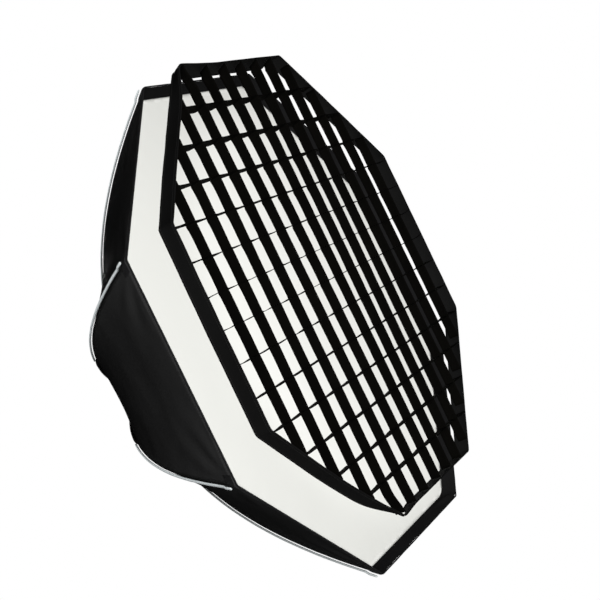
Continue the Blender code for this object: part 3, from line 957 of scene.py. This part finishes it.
def crease(place, t):
    """The slack corner's one long pleat, from the corner's tip towards the side below it."""
    away = -from_corner(place, LOOSE_CORNER)
    if place.dot(heading(azimuth(LOOSE_CORNER))) < 0.0 or abs(away) > 0.2:
        return 0.0
    line = 0.008 + 0.085 * t
    width = 0.006 if away > line else 0.045
    ridge = math.exp(-((away - line) / width) ** 2)
    return 0.0070 * ridge * math.sin(math.pi * min(1.0, 0.15 + t)) * smooth((0.2 - abs(away)) / 0.05)


def flat_frames(line):
    """(outward, forward) axes for a closed line in a plane of constant y."""
    frames = []
    forward = Vector((0.0, -1.0, 0.0))
    for i in range(len(line)):
        ahead = line[(i + 1) % len(line)] - line[i - 1]
        frames.append((forward.cross(Vector((ahead[0], 0.0, ahead[1]))).normalized(), forward))
    return frames


def lip_edge(inner, run, low, finish):
    """The rolled hem at the flap's inner edge."""
    centres = [Vector((p[0], low - 0.0004 + 0.0003 * wobble(r, 0.0, 73, 0.03), p[1]))
               for p, r in zip(inner, run)]
    outline = [(0.0010 * math.cos(a), 0.0012 * math.sin(a)) for a in spread(0.0, 2.0 * math.pi, 9)[:-1]]
    return swept("edge", centres, flat_frames(inner), lambda i: outline, finish["tape"], True, run)


def lip_thread(outer, inner, high, low, finish):
    """The stitching that holds the flap's hem."""
    t = 0.80
    line = [a.lerp(b, t) for a, b in zip(outer, inner)]
    place = [Vector((p[0], high + (low - high) * t - 0.0012, p[1])) for p in line]
    normals = [Vector((-p[0] * 0.6, -1.0, -p[1] * 0.6)).normalized() for p in line]
    return stitches(place, normals, finish["thread"], closed=True)


def rim_tape(finish):
    """The folded tape that binds the panels' front edges and the lip, with its stitching."""
    line, normals, run = octagon_line(0.5996, 0.010, per_side=76)
    centres = []
    for place, normal, r in zip(line, normals, run):
        place = place + normal * 0.0004 * wobble(r, 0.0, 81, 0.04)
        centres.append(Vector((place[0], FRONT_Y - 0.0004 + 0.0004 * wobble(r, 5.0, 82, 0.05), place[1])))

    def section(i):
        grow = 1.0 + 0.10 * wobble(run[i], 2.0, 83, 0.02)
        return [(0.0014 * grow * math.cos(a), 0.0019 * grow * math.sin(a))
                for a in spread(0.0, 2.0 * math.pi, 13)[:-1]]

    tape = swept("tape", centres, flat_frames(line), section, finish["tape"], True, run)
    radius, y = seam_profile(share_at(0.0065))[0]
    thread_line = octagon_line(radius + 0.0004, 0.004, per_side=76)[0]
    place = [Vector((p[0], y, p[1])) for p in thread_line]
    outwards = [Vector((p[0], 0.2, p[1])).normalized() for p in thread_line]
    thread = stitches(place, outwards, finish["grey_thread"], pitch=0.0050, length=0.0036, radius=0.00036,
                      closed=True)
    show(join("rim_tape", [tape, thread]), "softbox", "patch", "rim_binding")


# ---------------------------------------------------------------- diffusers
def diffuser_cloth(body, node_name, radius, corner_radius, rings, per_side, height, hem, finish):
    """A stretched octagon of white cloth with its hem; height(x, z, edge) gives y, `hem` its y and width."""
    edge_line = octagon_line(radius, corner_radius, per_side)[0]
    rows = []
    for i in range(rings + 1):
        t = 0.015 + 0.985 * i / rings
        rows.append([(Vector((p[0] * t, height(p[0] * t, p[1] * t, 1.0 - t), p[1] * t)), tuple(p * t))
                     for p in edge_line])
    sheet = cloth_piece("cloth", rows, [finish["white"]], 0.0005, offset=0.0, around=True, capped=True)
    orient_forward(sheet)
    piece = join(f"{node_name}_cloth", [sheet] + hem_band(radius + 0.0002, corner_radius, *hem, finish))
    show(piece, body, "white_cloth", node_name)


def wrinkle(x, z, edge, seed, strength):
    """Faint creases of a stretched cloth: soft waves, short ripples at the hem and a few fold lines."""
    waves = 0.8 * wobble(x, z, seed, 0.20) + 0.35 * wobble(x, z, seed + 1, 0.08)
    angle = math.atan2(z, x)
    hem = 0.55 * math.sin(angle * 70.0 + 4.0 * wobble(x, z, seed + 2, 0.1)) * math.exp(-edge / 0.035)
    folds = 0.0
    for k in range(5):
        tilt = 0.5 + 1.9 * k
        across = x * math.cos(tilt) + z * math.sin(tilt) - 0.18 * math.sin(2.3 * k)
        along = -x * math.sin(tilt) + z * math.cos(tilt)
        folds += 0.5 * math.exp(-(across / 0.006) ** 2) * smooth(0.5 + wobble(along, k, seed + 3, 0.15) * 1.5)
    return strength * (waves + hem + folds) * smooth(edge / 0.01)


def front_diffuser(finish):
    """The front cloth, on the hook-and-loop band behind the lip."""
    level = FRONT_Y + LIP_DEPTH + 0.0008

    def height(x, z, edge):
        return level - 0.0010 * (1.0 - (1.0 - edge) ** 2) - wrinkle(x, z, edge, 101, 0.0005)

    diffuser_cloth("diffuser", "front_diffuser", DIFFUSER_RADIUS, LIP_CORNER, 64, 44, height,
                   (level + 0.0006, 0.011), finish)


def flat_band(radius, corner_radius, inner_share, width, steps, height, finish, thickness):
    """A flat cloth band just inside an octagon, and its outer line; height(run, i, t) gives y."""
    outer, _, run = octagon_line(radius, corner_radius, per_side=54)
    rows = []
    for i, t in enumerate(spread(1.0, inner_share, steps + 1)):
        rows.append([(Vector((p[0] * t, height(r, i, t), p[1] * t)), (r, width * i / steps))
                     for p, r in zip(outer, run)])
    band = cloth_piece("band", rows, [finish], thickness, offset=0.0, around=True)
    orient_forward(band)
    return band, outer


def hem_band(radius, corner_radius, level, width, finish):
    """A folded hem lying on the cloth's border, with one row of stitches."""
    share = 1.0 - width / (radius * math.cos(HALF_SIDE))

    def height(r, i, t):
        puff = 0.0006 * math.sin(math.pi * i / 5.0) ** 0.5 if 0 < i < 5 else 0.0
        return level - puff - 0.0002 * wobble(r, t, 111, 0.012)

    # Its lighter finish is a painted highlight along the border.
    band, outer = flat_band(radius, corner_radius, share, width, 5, height, finish["hem"], 0.0006)
    t = 1.0 - 0.28 * (1.0 - share)
    line = [Vector((p[0] * t, level - 0.0009, p[1] * t)) for p in outer]
    thread = stitches(line, [Vector((0.0, -1.0, 0.0))] * len(line), finish["white_thread"], closed=True)
    return [band, thread]


def inner_diffuser(finish):
    """The smaller cloth inside, on its elastic straps."""
    level = FRONT_Y + BAFFLE_BACK

    def height(x, z, edge):
        sag = 0.004 * (1.0 - math.hypot(x, z) ** 2 / 0.16)
        return level - 0.0005 - 0.5 * sag - wrinkle(x, z, edge, 131, 0.0013)

    diffuser_cloth("softbox", "inner_diffuser", BAFFLE_RADIUS, 0.030, 40, 26, height, (level - 0.0012, 0.012),
                   finish)


def baffle_straps(finish):
    """Elastic tabs from the inner diffuser's corners to the seams, ribbed across and sewn at both ends."""
    start, end, half = 0.3955, 0.4745, 0.0088
    for corner in range(SIDES):
        low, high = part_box(f"baffle_strap_{corner + 1}")
        level = (low.y + high.y) / 2
        out = spoke(azimuth(corner), 1.0, 0.0)
        side = spoke(azimuth(corner) + math.pi / 2, 1.0, 0.0)
        rows = []
        for i, r in enumerate(spread(start, end, 29)):
            t = i / 28.0
            neck = 1.0 - 0.10 * math.sin(math.pi * t)
            bend = -0.0022 * smooth((0.10 - t) / 0.10)
            row = []
            for w in spread(-half, half, 9):
                rib = 0.00018 * math.sin(w * neck / half * 3.0 * math.pi)
                row.append((out * r + side * w * neck + Vector((0.0, level + bend + rib, 0.0)), (w, r)))
            rows.append(row)
        strap = cloth_piece("strap", rows, [finish["elastic"]], 0.0011, offset=0.0)
        orient_forward(strap)
        parts = [strap]
        for r, lift in ((start + 0.004, 0.0032), (start + 0.008, 0.0032), (end - 0.005, 0.0008)):
            line = [out * r + side * w + Vector((0.0, level - lift, 0.0))
                    for w in spread(-half * 0.8, half * 0.8, 5)]
            parts.append(stitches(line, [Vector((0.0, -1.0, 0.0))] * 5, finish["white_thread"],
                                  pitch=0.0030, length=0.0023))
        show(join(f"elastic_strap_{corner + 1}", parts), "softbox", "elastic", f"baffle_strap_{corner + 1}")


def loop_band(finish):
    """The loop half of the hook-and-loop fastening, behind the diffuser's border."""
    low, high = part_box("loop_band")
    level = (low.y + high.y) / 2

    def height(r, i, t):
        return level + 0.0002 * wobble(r, i * 0.004, 121, 0.004)

    band = flat_band(0.5695, 0.030, 0.9535, 0.028, 7, height, finish["loop"], 0.0012)[0]
    show(join("loop_band_tape", [band]), "softbox", "patch", "loop_band")


# ---------------------------------------------------------------- grid
GRID_PLACE = (Matrix.Translation(GRID_CENTRE) @ Matrix.Rotation(GRID_TURN, 4, "Z")
              @ Matrix.Rotation(GRID_TIP + math.pi / 2, 4, "X"))


def grid_point(x, y, h):
    """A point of the grid: x to the right and y up in its plane, h forwards from its rear edge."""
    return GRID_PLACE @ Vector((x, y, h))


def bump(angle, middle, width):
    """A smooth rise round one direction in the grid's plane, all in degrees."""
    off = (math.degrees(angle) - middle + 180.0) % 360.0 - 180.0
    return math.exp(-(off / width) ** 2)


def frame_shift(x, y):
    """How far the grid's soft frame has moved outwards: it sags at the lower left, the left corner gives."""
    angle = math.atan2(y, x)
    uneven = 0.0008 * wobble(math.cos(angle), math.sin(angle), 150, 0.35)
    sag = 0.0050 * bump(angle, 222.0, 15.0)
    give = 0.0035 * bump(angle, 157.5, 9.0)
    return uneven + sag - give


def frame_lean(x, y, h):
    """How far the band leans inwards there: its rear edge hangs down along the top."""
    off = abs(math.degrees(math.atan2(y, x)) - 90.0)
    return 0.014 * smooth((22.5 - off) / 5.0) * (1.0 - h / GRID_DEPTH) ** 1.3


def corner_pull(x, y, h):
    """How far two of the band's corners are pulled: the lowest, and the top left one's front edge."""
    angle = math.atan2(y, x)
    low = bump(angle, LOWEST, 6.0)
    top = bump(angle, TOP_LEFT, 6.0) * smooth(h / GRID_DEPTH)
    return Vector((0.014 * low - 0.017 * top, 0.005 * top - 0.003 * low))


def fold_forward(x, y, h):
    """Where the height h of the band ends up: at the lowest corner it is folded up to its front edge."""
    return h + 0.85 * (GRID_DEPTH - h) * bump(math.atan2(y, x), LOWEST, 6.0)


def band_place(p, n, out, h):
    """(x, y) of the soft band `out` metres outside its middle line at p, and at height h."""
    return p + n * (out + frame_shift(*p) - frame_lean(*p, h)) + corner_pull(*p, h)


def grid_frame(finish):
    """The cloth band round the grid: a wall with a rolled hem at both edges."""
    line, normals, run = octagon_line(GRID_RADIUS - GRID_WALL / 2, GRID_CORNER, per_side=48, arc=10)
    half = GRID_WALL / 2
    hem = ((0.0004, 0.55), (0.0000, 0.0), (0.0004, -0.55), (0.0022, -0.98), (0.0045, -0.62), (0.0062, -0.45))
    face = ((0.0022, 0.98), (0.0045, 0.66), (0.0062, 0.50))
    outline = [(w * half, h) for h, w in hem]
    outline += [(w * half, GRID_DEPTH - h) for h, w in (*reversed(hem), *face)]
    outline += [(0.72 * half, GRID_DEPTH / 2)]
    outline += [(w * half, h) for h, w in reversed(face)]
    points, uvs = [], []
    for p, n, r in zip(line, normals, run):
        for w, h in outline:
            place = band_place(p, n, w - 0.0009 * wobble(r, h * 3.0, 151, 0.06), h)
            points.append(grid_point(*place, fold_forward(*p, h) + 0.0006 * wobble(r, 9.0, 152, 0.05)))
            uvs.append((r, h if w > 0 else 0.07 - h))
    band = add_mesh("band", points, patch_faces(len(line), len(outline), True, True), [finish["band"]], uvs)
    orient_solid(band)
    parts = [band]
    facing = [GRID_PLACE.to_3x3() @ Vector((n[0], n[1], 0.0)) for n in normals]
    for h in (0.0054, GRID_DEPTH - 0.0054):
        place = [grid_point(*band_place(p, n, half * 0.66 + 0.0002, h), fold_forward(*p, h))
                 for p, n in zip(line, normals)]
        parts.append(stitches(place, facing, finish["grey_thread"], closed=True))
    show(join("grid_band", parts), "grid", "grid_cloth", "grid_frame")


def strip_reach(offset, upright):
    """How far a strip at `offset` runs each way (towards -, towards +) inside the soft frame."""
    apothem = (GRID_RADIUS - GRID_WALL) * math.cos(HALF_SIDE) - 0.0008
    plain = min(apothem, math.sqrt(2.0) * apothem - abs(offset))
    reaches = []
    for side in (-1.0, 1.0):
        x, y = (offset, side * plain) if upright else (side * plain, offset)
        shift = frame_shift(x, y) - 0.0030 * bump(math.atan2(y, x), LOWEST, 4.5)
        reaches.append(plain + shift * (1.0 if plain == apothem else math.sqrt(2.0)))
    return reaches


def upright_place(index, offset, below, along, h):
    """Where an upright strip's cloth is, sideways.

    It bows between crossings, and its rear edge curls to the left just under each crossing, most of all
    high up. `below` is the share of the cell down from the crossing above.
    """
    level = h / STRIP_DEPTH
    sway = 0.0006 * math.sin(math.pi * below + index) + 0.0013 * wobble(along, 3.0, 207 + index, 0.22)
    high = smooth((along + 0.10) / 0.45)
    curl = (0.0008 + 0.0058 * high) * math.exp(-below * CELL / 0.011) * (1.0 - level) ** 2
    twist = 0.0016 * (level - 0.5) * wobble(along, 1.0, 225 + index, 0.16)
    return offset + sway - curl + twist


def cross_place(index, offset, share, along, h, ends):
    """Where a cross strip's cloth is, upwards.

    It hangs a little between the uprights and twists, and high up its rear edge droops. `share` is how
    far across the cell that is, and `ends` the distance to the nearer end.
    """
    level = h / STRIP_DEPTH
    hang = -0.0016 * math.sin(math.pi * share) * (0.6 + 0.8 * wobble(along, index, 260, 0.05))
    slope = 0.0012 * (share - 0.5)
    high = smooth((offset - 0.02) / 0.40)
    turn = 0.0022 * high * (0.4 + wobble(along, index, 263, 0.06)) + 0.0009 * wobble(along, index, 264, 0.09)
    sewn = 0.0135 * math.exp(-ends / 0.016) * wobble(index, along / 0.3, 265, 0.8)
    top = smooth((offset - 0.20) / 0.22)
    lens = math.sin(math.pi * share**1.4) * (0.8 + 0.5 * wobble(along, index, 266, 0.11))
    corner = math.exp(-(1.0 - share) * CELL / 0.009) * smooth((offset - 0.14) / 0.28)
    droop = (0.0080 * top * lens + 0.0050 * corner) * (1.0 - level) ** 1.5
    return offset + hang + slope + (level - 0.5) * (turn + sewn) - droop


def strip_places(middle, before, after):
    """Where the strips that run one way stand: the pitch grows a little with each strip from the middle."""
    half = (GRID_STRIPS - 1) // 2
    places = []
    for k in range(-half, half + 1):
        pitch, growth = before if k < 0 else after
        places.append(middle + k * (pitch + growth * abs(k)))
    return places


def strip_rows(index, upright):
    """Rows of (point, flat place) pairs along one strip."""
    offset = strip_places(*(UPRIGHTS if upright else CROSSES))[index]
    crossed = strip_places(*(CROSSES if upright else UPRIGHTS))
    crossed = [crossed[0] - CELL] + crossed + [crossed[-1] + CELL]
    near, far = strip_reach(offset, upright)
    low = GRID_DEPTH - STRIP_FRONT - STRIP_DEPTH
    rows = []
    for along in spread(-near, far, round((near + far) / STRIP_STEP) + 1):
        share = float(np.interp(along, crossed, range(len(crossed)))) % 1.0
        ends = min(along + near, far - along)
        row = []
        for h in spread(0.0, STRIP_DEPTH, 6):
            if upright:
                across = upright_place(index, offset, 1.0 - share, along, h)
                x, y = offset + (across - offset) * smooth(ends / 0.02), along
                y -= frame_lean(x, far, low + h) * smooth(1.0 - (far - along) / 0.06)
            else:
                x, y = along, cross_place(index, offset, share, along, h, ends)
            follow = corner_pull(x, y, low + h) * smooth(1.0 - ends / 0.05)
            row.append((grid_point(x + follow[0], y + follow[1], low + h), (along, h)))
        rows.append(row)
    return rows


def grid_lattice(finish):
    """Cloth strips that cross through each other."""
    parts = []
    for upright in (True, False):
        for index in range(GRID_STRIPS):
            rows = strip_rows(index, upright)
            # The strips wear the darker copy of the grid cloth: painted shade.
            parts.append(cloth_piece("strip", rows, [finish["grid"]], 0.0011, offset=0.0))
    show(join("grid_strips", parts), "grid", "grid_cloth", "grid_lattice")


# ---------------------------------------------------------------- hardware
def hardware(finish):
    """Metal and plastic finishes on the CAD pieces that are shown as they are."""
    looks = {"bayonet_adapter": "turned", "speedring_body": "cast", "retainer_ring": "cast",
             "turn_lock_screw": "knob"}
    looks |= {f"retainer_screw_{k + 1}": "zinc" for k in range(3)}
    looks |= {f"rod_{k + 1}": "steel" for k in range(SIDES)}
    for name, look in looks.items():
        item = frame["nodes"][name]
        item.data.materials.clear()
        item.data.materials.append(finish[look])


# ---------------------------------------------------------------- everything
def main():
    set_camera()
    bpy.context.scene.view_settings.view_transform = "Standard"
    set_world()
    set_lights()
    set_floor()
    finish = make_finishes()
    shell_panels(finish)
    seam_piping(finish)
    seam_stitching(finish)
    corner_pockets(finish)
    rear_collar(finish)
    front_lip(finish)
    rim_tape(finish)
    front_diffuser(finish)
    inner_diffuser(finish)
    baffle_straps(finish)
    loop_band(finish)
    grid_frame(finish)
    grid_lattice(finish)
    hardware(finish)
    link_lights()


main()
